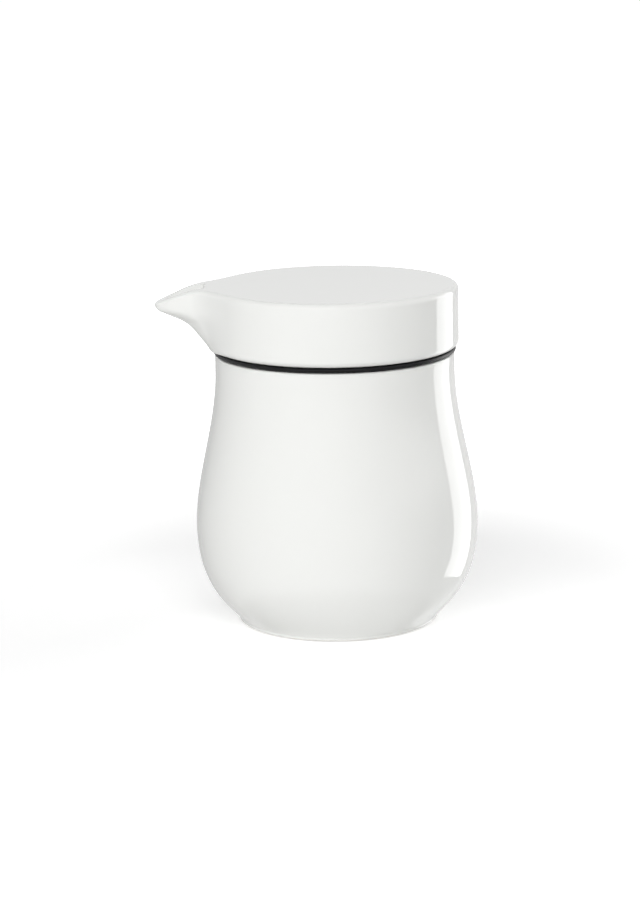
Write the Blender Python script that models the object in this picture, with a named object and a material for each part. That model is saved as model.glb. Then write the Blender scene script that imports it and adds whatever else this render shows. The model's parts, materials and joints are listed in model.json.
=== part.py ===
"""Lidded gravy boat: a porcelain pot, a pouring lid and the silicone ring that seals one in the other.

Lengths are in metres and +Z is up. The boat stands on z = 0 with its spout towards -X, and the
middle of its whole length lies over the origin, so the pot's axis is a little to the +X side.
"""
import math

import bmesh
import bpy
import numpy as np
from mathutils import Vector
from mathutils.geometry import interpolate_bezier

# Pot: outside
POT_HEIGHT = 0.0962
FOOT_RADIUS = 0.0357
FOOT_HEIGHT = 0.0012
FOOT_FLARE = math.radians(55)        # how steeply the wall leaves the foot
FOOT_PULL = 0.0061                   # how long it keeps that direction
BELLY_RADIUS = 0.0501
BELLY_HEIGHT = 0.0349
BELLY_PULL_BELOW = 0.0232            # fullness of the curve under the belly
BELLY_PULL_ABOVE = 0.0173            # fullness of the curve over the belly
NECK_RADIUS = 0.0422
NECK_START = 0.0904                  # height at which the neck has become upright
NECK_PULL = 0.0195                   # how slowly the shoulder turns into the neck

# Pot: wall, rim and foot ring
POT_WALL = 0.0040
FLOOR_THICKNESS = 0.0060
FLOOR_ROUND = 0.0120
RIM_ROUND = 0.0011
FOOT_RING_WIDTH = 0.0052
FOOT_RECESS = 0.0014
FOOT_ROUND = 0.0008

# Seal ring
FIT_GAP = 0.0003                     # clearance between pieces that touch
SEAL_FLANGE = 0.0013                 # thickness of the flange that shows as a black line
SEAL_OVERHANG = 0.0005               # how far the flange stands out past the neck
FLANGE_ROUND = 0.0006
SEAL_WALL = 0.0014
SLEEVE_LENGTH = 0.0080
FIN_REACH = 0.0010
FIN_THICKNESS = 0.0009
FIN_COUNT = 3

# Lid: disc and collar
LID_RADIUS = 0.0437
LID_HEIGHT = 0.0219
LID_WALL = 0.0032
LID_TOP_ROUND = 0.0013
LID_BOTTOM_ROUND = 0.0022
SPOUT_BOTTOM_ROUND = 0.0004          # the same edge under the spout
BEAD_REACH = 0.0009                  # the bead that keeps the seal on the collar
BEAD_HEIGHT = 0.0024
COLLAR_ROUND = 0.0007

# Lid: spout
SPOUT_LENGTH = 0.0193                # from the lid's wall to the tip
SPOUT_ROOT = math.radians(32)        # where the lid's circle starts to run out into the spout
LIP_LENGTH = 0.0125                  # from the tip back to the widest part of the open lip
LIP_WIDTH = 0.0174
LIP_TAPER = math.radians(25)
NOSE_FULLNESS = 0.72                 # how far the round nose fills its corners in plan
BLEND_FULLNESS = 0.76                # the same for the hollow curve at the spout's root
LIP_WALL = 0.0056                    # from the lip's side in to the channel
NOSE_WALL = 0.0080                   # from the tip back to the channel
NOSE_DEPTH = 0.0078                  # underside of the nose, below the lid's top
NOSE_ROUND = 0.0030
LIP_RISE = math.radians(23)          # slope of the lip's underside
KEEL_BEND = 0.0078                   # where the underside turns steep, out from the lid's wall
KEEL_BEND_ROUND = 0.0150
KEEL_RUNOUT = 0.0005                 # the keel would meet the lid's wall this far under the lid
KEEL_SHARPNESS = 1.5                 # 1 is a blunt keel; more draws it together at its foot
RIM_FALL = math.radians(21.5)        # slope of the lip's rim towards the tip
RIM_FALL_LENGTH = 0.0144             # from the tip back to where that slope reaches the lid's top
RIM_BEND_LENGTH = 0.0080
LIP_EDGE_ROUND = 0.0015
SLOT_SETBACK = 0.0180                # from the tip back to the front edge of the top plate
SLOT_EDGE_HALF = 0.0010              # straight half of that edge, between its round corners
SLOT_EDGE_ROUND = 0.0024

# Fineness of the facets
TURN_STEPS = 48
CURVE_POINTS = 10
NOSE_COLUMNS = 7
BLEND_COLUMNS = 7
BACK_COLUMNS = 18
TOP_ROWS = 2
WALL_ROWS = 8
ARC_STEPS = 3
KEEL_ARC_STEPS = 8
LIP_STEP = 0.0003                    # height of the two rows under the lip's inner edge
WELD_DISTANCE = 1e-7
SHARP_ANGLE = math.radians(35)

# Places that follow from the sizes above
POT_AXIS_X = (LID_RADIUS + SPOUT_LENGTH - BELLY_RADIUS) / 2
BORE_RADIUS = NECK_RADIUS - POT_WALL
SLEEVE_RADIUS = BORE_RADIUS - FIT_GAP - FIN_REACH - SEAL_WALL
COLLAR_RADIUS = SLEEVE_RADIUS - FIT_GAP
FLANGE_BOTTOM = POT_HEIGHT + FIT_GAP
FLANGE_TOP = FLANGE_BOTTOM + SEAL_FLANGE
SLEEVE_BOTTOM = FLANGE_BOTTOM - SLEEVE_LENGTH
LID_BOTTOM = FLANGE_TOP + FIT_GAP
LID_TOP = LID_BOTTOM + LID_HEIGHT
BEAD_TOP = SLEEVE_BOTTOM - FIT_GAP
COLLAR_BOTTOM = BEAD_TOP - BEAD_HEIGHT
CAVITY_RADIUS = LID_RADIUS - LID_WALL
CAVITY_FLOOR = LID_BOTTOM + LID_WALL
CAVITY_TOP = LID_TOP - LID_WALL
SPOUT_REACH = LID_RADIUS + SPOUT_LENGTH
CHANNEL_REACH = SPOUT_REACH - NOSE_WALL


def rounded(corners, steps=ARC_STEPS):
    """A path through (r, z, radius) corners, with an arc at each corner that has a radius."""
    path = []
    last = len(corners) - 1
    for index, (r, z, radius) in enumerate(corners):
        corner = Vector((r, z))
        if radius == 0 or index in (0, last):
            path.append(corner)
            continue
        before = (Vector(corners[index - 1][:2]) - corner).normalized()
        after = (Vector(corners[index + 1][:2]) - corner).normalized()
        half_angle = before.angle(after) / 2
        to_centre = (before + after).normalized() / math.sin(half_angle)
        start = before / math.tan(half_angle) - to_centre
        end = after / math.tan(half_angle) - to_centre
        for step in range(steps + 1):
            path.append(corner + (to_centre + start.slerp(end, step / steps)) * radius)
    return path


def offset_path(path, distance):
    """The path moved sideways, to the left of its direction of travel."""
    moved = []
    for index, point in enumerate(path):
        before = path[max(index - 1, 0)]
        after = path[min(index + 1, len(path) - 1)]
        along = (after - before).normalized()
        moved.append(point + Vector((-along.y, along.x)) * distance)
    return moved


def crossing(point_a, along_a, point_b, along_b):
    """Where two lines in a plane cross, each given by a point and a direction."""
    directions = np.array([along_a, -along_b]).T
    step, _ = np.linalg.solve(directions, np.array(point_b - point_a))
    return point_a + along_a * step


def plain_material(name, colour, roughness):
    """A material with one colour and one roughness."""
    material = bpy.data.materials.new(name)
    material.use_nodes = True
    shader = material.node_tree.nodes["Principled BSDF"]
    shader.inputs["Base Color"].default_value = (*colour, 1)
    shader.inputs["Roughness"].default_value = roughness
    shader.inputs["Metallic"].default_value = 0
    return material


def add_piece(name, bm, material, parent):
    """The finished mesh as an object of its own, carried by the empty on the pot's axis."""
    bmesh.ops.remove_doubles(bm, verts=bm.verts, dist=WELD_DISTANCE)
    bmesh.ops.recalc_face_normals(bm, faces=bm.faces)
    mesh = bpy.data.meshes.new(name)
    bm.to_mesh(mesh)
    bm.free()
    mesh.shade_smooth()
    mesh.set_sharp_from_angle(angle=SHARP_ANGLE)
    mesh.materials.append(material)
    piece = bpy.data.objects.new(name, mesh)
    piece.parent = parent
    bpy.context.collection.objects.link(piece)


def turned(path, closed):
    """A profile of (r, z) points turned once round the Z axis."""
    bm = bmesh.new()
    points = [bm.verts.new((r, 0, z)) for r, z in path]
    edges = [bm.edges.new(pair) for pair in zip(points, points[1:])]
    if closed:
        edges.append(bm.edges.new((points[-1], points[0])))
    bmesh.ops.spin(bm, geom=points + edges, cent=(0, 0, 0), axis=(0, 0, 1), dvec=(0, 0, 0),
                   angle=2 * math.pi, steps=TURN_STEPS, use_merge=True)
    return bm


# Pot

def pot_outside():
    """The pot's outer curve from the top of the foot up to where the neck is upright."""
    foot = Vector((FOOT_RADIUS, FOOT_HEIGHT))
    belly = Vector((BELLY_RADIUS, BELLY_HEIGHT))
    neck = Vector((NECK_RADIUS, NECK_START))
    flare = Vector((math.cos(FOOT_FLARE), math.sin(FOOT_FLARE)))
    up = Vector((0, 1))
    below = interpolate_bezier(foot, foot + flare * FOOT_PULL,
                               belly - up * BELLY_PULL_BELOW, belly, CURVE_POINTS)
    above = interpolate_bezier(belly, belly + up * BELLY_PULL_ABOVE,
                               neck - up * NECK_PULL, neck, CURVE_POINTS)
    return below + above[1:]


def pot_floor(wall_end, wall_slope):
    """The round corner inside the pot, from its flat floor to the lower end of the inner wall."""
    floor_end = Vector((wall_end.x - FLOOR_ROUND, FLOOR_THICKNESS))
    level = Vector((1, 0))
    return interpolate_bezier(floor_end, floor_end + level * FLOOR_ROUND / 2,
                              wall_end + wall_slope * FLOOR_ROUND / 3, wall_end, ARC_STEPS + 2)


def build_pot(material, parent):
    """The pot is turned from one profile: inside floor, bore, rim, outside, foot ring and recess."""
    outside = pot_outside()
    wall_end_height = FLOOR_THICKNESS + FLOOR_ROUND / 2
    inside = [point for point in offset_path(outside, POT_WALL) if point.y > wall_end_height]
    wall_slope = (inside[0] - inside[1]).normalized()
    rim = rounded([
        (BORE_RADIUS, NECK_START, 0),
        (BORE_RADIUS, POT_HEIGHT, RIM_ROUND),
        (NECK_RADIUS, POT_HEIGHT, RIM_ROUND),
        (NECK_RADIUS, NECK_START, 0),
    ])
    ring_inner = FOOT_RADIUS - FOOT_RING_WIDTH
    foot = rounded([
        (FOOT_RADIUS, FOOT_HEIGHT, 0),
        (FOOT_RADIUS, 0, FOOT_ROUND),
        (ring_inner, 0, FOOT_ROUND),
        (ring_inner - FOOT_RECESS, FOOT_RECESS, 0),
        (0, FOOT_RECESS, 0),
    ])
    profile = [Vector((0, FLOOR_THICKNESS))] + pot_floor(inside[0], wall_slope) + inside[1:-1]
    profile += rim + outside[-2:0:-1] + foot
    add_piece("pot", turned(profile, closed=False), material, parent)


# Seal ring

def build_seal(material, parent):
    """A flange between lid and rim, and a sleeve round the collar with fins that press on the bore."""
    sleeve_outer = SLEEVE_RADIUS + SEAL_WALL
    fin_edge = BORE_RADIUS - FIT_GAP
    fin_pitch = SLEEVE_LENGTH / FIN_COUNT
    flange_edge = NECK_RADIUS + SEAL_OVERHANG
    corners = [
        (SLEEVE_RADIUS, SLEEVE_BOTTOM, 0),
        (SLEEVE_RADIUS, FLANGE_TOP, 0),
        (flange_edge, FLANGE_TOP, FLANGE_ROUND),
        (flange_edge, FLANGE_BOTTOM, FLANGE_ROUND),
        (sleeve_outer, FLANGE_BOTTOM, 0),
    ]
    for fin in range(FIN_COUNT):
        middle = FLANGE_BOTTOM - fin_pitch * (fin + 0.5)
        corners += [
            (sleeve_outer, middle + FIN_THICKNESS, 0),
            (fin_edge, middle + FIN_THICKNESS / 2, 0),
            (fin_edge, middle, 0),
            (sleeve_outer, middle - FIN_THICKNESS, 0),
        ]
    corners.append((sleeve_outer, SLEEVE_BOTTOM, 0))
    add_piece("seal_ring", turned(rounded(corners), closed=True), material, parent)


# Pouring lid in plan: half outlines, from the spout's tip round to the middle of the back

def plan_point(out, side):
    """A point in plan, given its distance out along the spout and its distance to the side."""
    return Vector((-out, side))


def lid_outline(radius, reach, setback):
    """The lid's circle, running out through a hollow curve into the tapered lip and its round nose."""
    taper = plan_point(math.cos(LIP_TAPER), -math.sin(LIP_TAPER))
    leave = plan_point(math.sin(SPOUT_ROOT), -math.cos(SPOUT_ROOT))
    inward = plan_point(-math.sin(LIP_TAPER), -math.cos(LIP_TAPER))
    tip = plan_point(reach, 0)
    waist = plan_point(SPOUT_REACH - LIP_LENGTH, LIP_WIDTH / 2) + inward * setback
    root = plan_point(radius * math.cos(SPOUT_ROOT), radius * math.sin(SPOUT_ROOT))
    nose_corner = crossing(waist, taper, tip, plan_point(0, 1))
    blend_corner = crossing(waist, taper, root, leave)
    nose = interpolate_bezier(tip, tip.lerp(nose_corner, NOSE_FULLNESS),
                              waist.lerp(nose_corner, NOSE_FULLNESS), waist, NOSE_COLUMNS + 1)
    blend = interpolate_bezier(waist, waist.lerp(blend_corner, BLEND_FULLNESS),
                               root.lerp(blend_corner, BLEND_FULLNESS), root, BLEND_COLUMNS + 1)
    back = []
    for column in range(1, BACK_COLUMNS + 1):
        angle = SPOUT_ROOT + (math.pi - SPOUT_ROOT) * column / BACK_COLUMNS
        back.append(plan_point(radius * math.cos(angle), radius * math.sin(angle)))
    return nose + blend[1:] + back


def slot_outline(channel):
    """The edge of the slot in the lid's top: along the channel, then across the top plate's front."""
    taper = plan_point(math.cos(LIP_TAPER), -math.sin(LIP_TAPER))
    waist = channel[NOSE_COLUMNS]
    edge_middle = plan_point(SPOUT_REACH - SLOT_SETBACK, 0)
    edge_end = plan_point(SPOUT_REACH - SLOT_SETBACK, SLOT_EDGE_HALF)
    corner = crossing(waist, taper, edge_end, plan_point(0, 1))
    side = interpolate_bezier(waist, waist.lerp(corner, BLEND_FULLNESS),
                              edge_end.lerp(corner, BLEND_FULLNESS), edge_end, BLEND_COLUMNS + 1)
    edge = [edge_end.lerp(edge_middle, (column + 1) / BACK_COLUMNS) for column in range(BACK_COLUMNS)]
    return channel[:NOSE_COLUMNS] + side + edge


def outward_normals(outline):
    """Unit normals of a half outline, pointing away from what it goes round."""
    mirror = Vector((1, -1))
    closed = [outline[1] * mirror] + outline + [outline[-2] * mirror]
    normals = []
    for before, after in zip(closed, closed[2:]):
        along = (after - before).normalized()
        normals.append(Vector((-along.y, along.x)))
    return normals


def column_angles(outline):
    """The angle round the axis at which each column of the spout runs down into the lid's collar."""
    lengths = [0]
    for before, after in zip(outline, outline[1:]):
        lengths.append(lengths[-1] + (after - before).length)
    root = NOSE_COLUMNS + BLEND_COLUMNS
    angles = [SPOUT_ROOT * (length / lengths[root]) ** KEEL_SHARPNESS for length in lengths[:root]]
    angles += [SPOUT_ROOT + (math.pi - SPOUT_ROOT) * column / BACK_COLUMNS
               for column in range(BACK_COLUMNS + 1)]
    return angles


def back_share(column):
    """0 along the open lip, 1 round the lid's circle, and a smooth change where they run together."""
    share = min(max((column - NOSE_COLUMNS) / BLEND_COLUMNS, 0), 1)
    return share * share * (3 - 2 * share)


# Pouring lid in height

def lip_top(point):
    """Height of the lid's top over a point in plan: level, then falling along the lip to the tip."""
    past = -point.x - (SPOUT_REACH - RIM_FALL_LENGTH) + RIM_BEND_LENGTH / 2
    slope = math.tan(RIM_FALL)
    if past <= 0:
        return LID_TOP
    if past < RIM_BEND_LENGTH:
        return LID_TOP - slope * past * past / (2 * RIM_BEND_LENGTH)
    return LID_TOP - slope * (past - RIM_BEND_LENGTH / 2)


def spout_share(radius, reach, setback):
    """How much of the spout's length is left at each height of its keel, as a function of the height."""
    nose = Vector((SPOUT_REACH, LID_TOP - NOSE_DEPTH))
    bend_out = LID_RADIUS + KEEL_BEND
    bend = Vector((bend_out, nose.y - (SPOUT_REACH - bend_out) * math.tan(LIP_RISE)))
    foot = Vector((LID_RADIUS, LID_BOTTOM - KEEL_RUNOUT))
    lip = (bend - nose).normalized()
    wall = (foot - bend).normalized()
    nose += Vector((lip.y, -lip.x)) * setback
    foot += Vector((wall.y, -wall.x)) * setback
    nose = crossing(nose, lip, Vector((reach, 0)), Vector((0, 1)))
    bend = crossing(nose, lip, foot, wall)
    keel = rounded([(reach, LID_TOP, 0), (*nose, NOSE_ROUND), (*bend, KEEL_BEND_ROUND), (*foot, 0)],
                   KEEL_ARC_STEPS)
    heights = [point.y for point in reversed(keel)]
    shares = [(point.x - radius) / (reach - radius) for point in reversed(keel)]
    return lambda height: float(np.interp(height, heights, shares))


def collar_path():
    """Profile of the collar: down its outside, past the bead, and up its bore to the cavity's floor."""
    bead_radius = COLLAR_RADIUS + BEAD_REACH
    bore = COLLAR_RADIUS - LID_WALL
    path = rounded([
        (COLLAR_RADIUS, LID_BOTTOM, 0),
        (COLLAR_RADIUS, BEAD_TOP, 0),
        (bead_radius, BEAD_TOP, 0),
        (bead_radius, COLLAR_BOTTOM, COLLAR_ROUND),
        (bore, COLLAR_BOTTOM, COLLAR_ROUND),
        (bore, CAVITY_FLOOR, COLLAR_ROUND),
        (CAVITY_RADIUS, CAVITY_FLOOR, 0),
    ])
    return path[:-1]


def lid_columns():
    """Half the lid as closed profiles side by side, from the one through the tip to the back's.

    Each profile runs over the top from the slot to the edge, down the outside, round the collar,
    up through the cavity and back to the slot.
    """
    outer = lid_outline(LID_RADIUS, SPOUT_REACH, 0)
    outer_normals = outward_normals(outer)
    channel = lid_outline(CAVITY_RADIUS, CHANNEL_REACH, LIP_WALL)
    slot = slot_outline(channel)
    slot_normals = outward_normals(slot)
    outer_share = spout_share(LID_RADIUS, SPOUT_REACH, 0)
    channel_share = spout_share(CAVITY_RADIUS, CHANNEL_REACH, LID_WALL)
    collar = collar_path()
    quarter = [math.pi / 2 * step / ARC_STEPS for step in range(ARC_STEPS + 1)]
    columns = []
    for column, angle in enumerate(column_angles(outer)):
        radial = plan_point(math.cos(angle), math.sin(angle))
        share = back_share(column)
        points = []

        slot_edge = slot[column] + slot_normals[column] * SLOT_EDGE_ROUND
        slot_low = lip_top(slot[column]) - SLOT_EDGE_ROUND
        for turn in quarter:
            place = slot_edge - slot_normals[column] * SLOT_EDGE_ROUND * math.cos(turn)
            points.append((*place, slot_low + SLOT_EDGE_ROUND * math.sin(turn)))

        edge_round = LIP_EDGE_ROUND + (LID_TOP_ROUND - LIP_EDGE_ROUND) * share
        top_edge = outer[column] - outer_normals[column] * edge_round
        for step in range(1, TOP_ROWS):
            place = slot_edge.lerp(top_edge, step / TOP_ROWS)
            points.append((*place, lip_top(place)))
        wall_top = lip_top(top_edge) - edge_round
        for turn in reversed(quarter):
            place = top_edge + outer_normals[column] * edge_round * math.cos(turn)
            points.append((*place, wall_top + edge_round * math.sin(turn)))

        bottom_round = SPOUT_BOTTOM_ROUND + (LID_BOTTOM_ROUND - SPOUT_BOTTOM_ROUND) * share
        wall_low = LID_BOTTOM + bottom_round
        for row in range(1, WALL_ROWS):
            height = wall_top + (wall_low - wall_top) * row / WALL_ROWS
            place = (radial * LID_RADIUS).lerp(outer[column], outer_share(height))
            points.append((*place, height))
        low_edge = (radial * LID_RADIUS).lerp(outer[column], outer_share(wall_low))
        for turn in quarter:
            place = low_edge - radial * bottom_round * (1 - math.cos(turn))
            points.append((*place, wall_low - bottom_round * math.sin(turn)))

        points += [(*(radial * r), z) for r, z in collar]

        nose_height = slot_low - 2 * LIP_STEP
        wall_high = nose_height + (CAVITY_TOP - nose_height) * share
        for row in range(WALL_ROWS + 1):
            height = CAVITY_FLOOR + (wall_high - CAVITY_FLOOR) * row / WALL_ROWS
            place = (radial * CAVITY_RADIUS).lerp(channel[column], channel_share(height))
            points.append((*place, height))
        plate_low = nose_height + LIP_STEP + (CAVITY_TOP - nose_height - LIP_STEP) * share
        points.append((*slot[column], plate_low))
        columns.append([Vector(point) for point in points])
    return columns


def lofted(columns):
    """A closed ring of closed profiles, skinned row by row: each row is extruded from the last."""
    rows = [list(row) for row in zip(*columns)]
    bm = bmesh.new()
    verts = [bm.verts.new(place) for place in rows[0]]
    edges = [bm.edges.new(pair) for pair in zip(verts, verts[1:] + verts[:1])]
    for row in rows[1:] + rows[:1]:
        made = bmesh.ops.extrude_edge_only(bm, edges=edges)["geom"]
        fresh = {item for item in made if isinstance(item, bmesh.types.BMVert)}
        verts = [next(edge.other_vert(vert) for edge in vert.link_edges if edge.other_vert(vert) in fresh)
                 for vert in verts]
        for vert, place in zip(verts, row):
            vert.co = place
        edges = [bm.edges.get(pair) for pair in zip(verts, verts[1:] + verts[:1])]
    return bm


def build_lid(material, parent):
    """The lid is cast hollow in one piece, so disc, spout and collar are one skin."""
    half = lid_columns()
    mirror = Vector((1, -1, 1))
    other_half = [[point * mirror for point in column] for column in half[-2:0:-1]]
    add_piece("pouring_lid", lofted(half + other_half), material, parent)


def main():
    for thing in list(bpy.data.objects):
        bpy.data.objects.remove(thing, do_unlink=True)
    axis = bpy.data.objects.new("pot_axis", None)
    axis.location = (POT_AXIS_X, 0, 0)
    bpy.context.collection.objects.link(axis)
    porcelain = plain_material("white_porcelain", (0.86, 0.86, 0.84), 0.12)
    lid_porcelain = plain_material("white_porcelain_lid", (0.86, 0.86, 0.84), 0.12)
    silicone = plain_material("black_silicone", (0.012, 0.012, 0.012), 0.5)
    build_pot(porcelain, axis)
    build_seal(silicone, axis)
    build_lid(lid_porcelain, axis)


main()
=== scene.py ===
# %% [markdown]
# # A lidded gravy boat
# On the table this is a round-bellied porcelain pot, a porcelain lid whose edge runs out into a
# pouring lip, and a black silicone ring that seals the lid in the neck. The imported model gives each
# of them its size, its place and its joint. This lesson makes the fine surfaces that replace the
# faceted solids, then the glaze, the table, the camera and the light.

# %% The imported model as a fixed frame
import json
import math

import bmesh
import bpy
import numpy as np
from mathutils import Matrix, Quaternion, Vector
from mathutils.geometry import interpolate_bezier


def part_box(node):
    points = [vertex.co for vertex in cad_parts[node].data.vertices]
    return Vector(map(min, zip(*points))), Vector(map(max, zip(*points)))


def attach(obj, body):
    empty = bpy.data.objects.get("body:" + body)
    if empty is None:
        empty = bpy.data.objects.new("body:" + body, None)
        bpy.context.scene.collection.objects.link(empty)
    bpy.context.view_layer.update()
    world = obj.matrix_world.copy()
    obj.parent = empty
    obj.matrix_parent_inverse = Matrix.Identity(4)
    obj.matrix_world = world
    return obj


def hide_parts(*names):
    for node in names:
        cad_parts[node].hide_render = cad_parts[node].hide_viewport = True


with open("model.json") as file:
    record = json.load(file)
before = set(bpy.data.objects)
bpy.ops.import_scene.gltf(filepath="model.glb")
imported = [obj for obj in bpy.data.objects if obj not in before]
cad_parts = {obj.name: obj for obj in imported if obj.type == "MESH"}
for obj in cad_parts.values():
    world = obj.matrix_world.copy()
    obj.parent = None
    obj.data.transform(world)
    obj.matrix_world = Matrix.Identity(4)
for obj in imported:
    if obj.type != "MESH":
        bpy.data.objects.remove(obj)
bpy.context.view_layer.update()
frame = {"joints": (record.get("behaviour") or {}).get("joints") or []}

MILLIMETRE = 0.001

# %% [markdown]
# ## Sizes that come from the frame
# The solids already hold the main sizes, so they are measured there and not written again: the
# axis that the lid turns on, the belly, the rim, the ring's edge, the lid's wall and the tip.

# %% Sizes measured on the solids
turning = next(joint for joint in frame["joints"] if joint["name"] == "lid_turn")
AXIS_X = turning["pos_m"][0]
pot_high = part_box("pot")[1]
ring_low, ring_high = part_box("seal_ring")
lid_low, lid_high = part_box("pouring_lid")

BELLY_RADIUS = pot_high.x - AXIS_X
POT_HEIGHT = pot_high.z
FLANGE_RADIUS = ring_high.x - AXIS_X
FLANGE_TOP = ring_high.z
SLEEVE_BOTTOM = ring_low.z
LID_RADIUS = lid_high.x - AXIS_X
SPOUT_REACH = AXIS_X - lid_low.x
LID_TOP = lid_high.z
COLLAR_BOTTOM = lid_low.z
for name, size in [("belly radius", BELLY_RADIUS), ("rim height", POT_HEIGHT),
                   ("lid radius", LID_RADIUS), ("spout reach", SPOUT_REACH), ("lid top", LID_TOP)]:
    print(f"{name}: {size / MILLIMETRE:.2f} mm")

# %% [markdown]
# ## Turned pieces
# Pot and ring are round about one axis, as a potter's wheel or a mould makes them. A round piece
# could start from a cylinder that is bevelled and scaled, but every edge of glazed porcelain is a
# soft arc of its own radius. So each profile is drawn once, with an arc at each corner, and the
# spin operator turns it about the axis.

# %% A profile with round corners
ARC_STEPS = 8


def rounded(corners, steps=ARC_STEPS):
    """A path through (r, z, radius) corners, with an arc at each inner corner that has a radius."""
    path = []
    last = len(corners) - 1
    for index, (r, z, radius) in enumerate(corners):
        corner = Vector((r, z))
        if radius == 0 or index in (0, last):
            path.append(corner)
            continue
        before = (Vector(corners[index - 1][:2]) - corner).normalized()
        after = (Vector(corners[index + 1][:2]) - corner).normalized()
        half_angle = before.angle(after) / 2
        to_centre = (before + after).normalized() / math.sin(half_angle)
        start = before / math.tan(half_angle) - to_centre
        end = after / math.tan(half_angle) - to_centre
        for step in range(steps + 1):
            path.append(corner + (to_centre + start.slerp(end, step / steps)) * radius)
    return path


print("a corner becomes", len(rounded([(0, 0, 0), (1, 0, 0.2), (1, 1, 0)])) - 2, "points")

# %% The spin, and a mesh that is closed and smooth
TURN_STEPS = 180
WELD_DISTANCE = 1e-7


def finished_piece(name, bm):
    """Seams and poles are welded first, so that the normals can then be turned outwards."""
    bmesh.ops.remove_doubles(bm, verts=bm.verts, dist=WELD_DISTANCE)
    bmesh.ops.recalc_face_normals(bm, faces=bm.faces)
    open_edges = sum(not edge.is_manifold for edge in bm.edges)
    mesh = bpy.data.meshes.new(name)
    bm.to_mesh(mesh)
    bm.free()
    mesh.shade_smooth()
    piece = bpy.data.objects.new(name, mesh)
    bpy.context.collection.objects.link(piece)
    print(f"{name}: {len(mesh.polygons)} faces, {open_edges} open edges")
    return piece


def turned(path, closed):
    """A profile of (r, z) points, spun once round the pot's axis."""
    bm = bmesh.new()
    points = [bm.verts.new((AXIS_X + r, 0, z)) for r, z in path]
    edges = [bm.edges.new(pair) for pair in zip(points, points[1:])]
    if closed:
        edges.append(bm.edges.new((points[-1], points[0])))
    bmesh.ops.spin(bm, geom=points + edges, cent=(AXIS_X, 0, 0), axis=(0, 0, 1), dvec=(0, 0, 0),
                   angle=2 * math.pi, steps=TURN_STEPS, use_merge=True)
    return bm


print("one turn has", TURN_STEPS, "steps")

# %% [markdown]
# ## The pot
# The outside is one quiet S: it leaves the foot at a slant, swells to the belly and draws in to an
# upright neck. Two Bezier curves that meet upright at the belly give that line without a flat spot.
# The inside is the same line moved in by the wall, because slip-cast porcelain has an even wall.

# %% The pot's outer curve
FOOT_RADIUS = 35.7 * MILLIMETRE
FOOT_HEIGHT = 1.2 * MILLIMETRE
FOOT_FLARE = math.radians(55)
FOOT_PULL = 6.1 * MILLIMETRE
BELLY_HEIGHT = 34.9 * MILLIMETRE
BELLY_PULL_BELOW = 23.2 * MILLIMETRE
BELLY_PULL_ABOVE = 17.3 * MILLIMETRE
NECK_RADIUS = 42.2 * MILLIMETRE
NECK_START = 90.4 * MILLIMETRE
NECK_PULL = 19.5 * MILLIMETRE
CURVE_POINTS = 44


def pot_outside():
    """From the top of the foot up to where the neck is upright."""
    foot = Vector((FOOT_RADIUS, FOOT_HEIGHT))
    belly = Vector((BELLY_RADIUS, BELLY_HEIGHT))
    neck = Vector((NECK_RADIUS, NECK_START))
    flare = Vector((math.cos(FOOT_FLARE), math.sin(FOOT_FLARE)))
    up = Vector((0, 1))
    below = interpolate_bezier(foot, foot + flare * FOOT_PULL,
                               belly - up * BELLY_PULL_BELOW, belly, CURVE_POINTS)
    above = interpolate_bezier(belly, belly + up * BELLY_PULL_ABOVE,
                               neck - up * NECK_PULL, neck, CURVE_POINTS)
    return below + above[1:]


outside = pot_outside()
print("outer curve:", len(outside), "points")

# %% The pot's inner curve and floor
POT_WALL = 4.0 * MILLIMETRE
FLOOR_THICKNESS = 6.0 * MILLIMETRE
FLOOR_ROUND = 12.0 * MILLIMETRE
FLOOR_POINTS = 16


def offset_path(path, distance):
    """The path moved sideways, to the left of its direction of travel."""
    moved = []
    for index, point in enumerate(path):
        before = path[max(index - 1, 0)]
        after = path[min(index + 1, len(path) - 1)]
        along = (after - before).normalized()
        moved.append(point + Vector((-along.y, along.x)) * distance)
    return moved


wall_end_height = FLOOR_THICKNESS + FLOOR_ROUND / 2
inside = [point for point in offset_path(outside, POT_WALL) if point.y > wall_end_height]
wall_slope = (inside[0] - inside[1]).normalized()
floor_end = Vector((inside[0].x - FLOOR_ROUND, FLOOR_THICKNESS))
floor_corner = interpolate_bezier(floor_end, floor_end + Vector((FLOOR_ROUND / 2, 0)),
                                  inside[0] + wall_slope * FLOOR_ROUND / 3, inside[0], FLOOR_POINTS)
print(f"inside: {inside[-1].x * 2 / MILLIMETRE:.1f} mm across at the neck")

# %% The pot's rim, foot ring and whole body
RIM_ROUND = 1.1 * MILLIMETRE
FOOT_RING_WIDTH = 5.2 * MILLIMETRE
FOOT_RECESS = 1.4 * MILLIMETRE
FOOT_ROUND = 0.8 * MILLIMETRE
FOOT_CREASE_ROUND = 1.0 * MILLIMETRE
CREASE_POINT = 2

bore_radius = NECK_RADIUS - POT_WALL
ring_inner = FOOT_RADIUS - FOOT_RING_WIDTH
rim = rounded([
    (bore_radius, NECK_START, 0),
    (bore_radius, POT_HEIGHT, RIM_ROUND),
    (NECK_RADIUS, POT_HEIGHT, RIM_ROUND),
    (NECK_RADIUS, NECK_START, 0),
])
foot = rounded([
    (*outside[CREASE_POINT], 0),
    (FOOT_RADIUS, FOOT_HEIGHT, FOOT_CREASE_ROUND),
    (FOOT_RADIUS, 0, FOOT_ROUND),
    (ring_inner, 0, FOOT_ROUND),
    (ring_inner - FOOT_RECESS, FOOT_RECESS, FOOT_ROUND),
    (0, FOOT_RECESS, 0),
])
pot_profile = [Vector((0, FLOOR_THICKNESS))] + floor_corner + inside[1:-1]
pot_profile += rim + outside[-2:CREASE_POINT:-1] + foot
pot = finished_piece("porcelain_pot", turned(pot_profile, closed=False))

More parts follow.
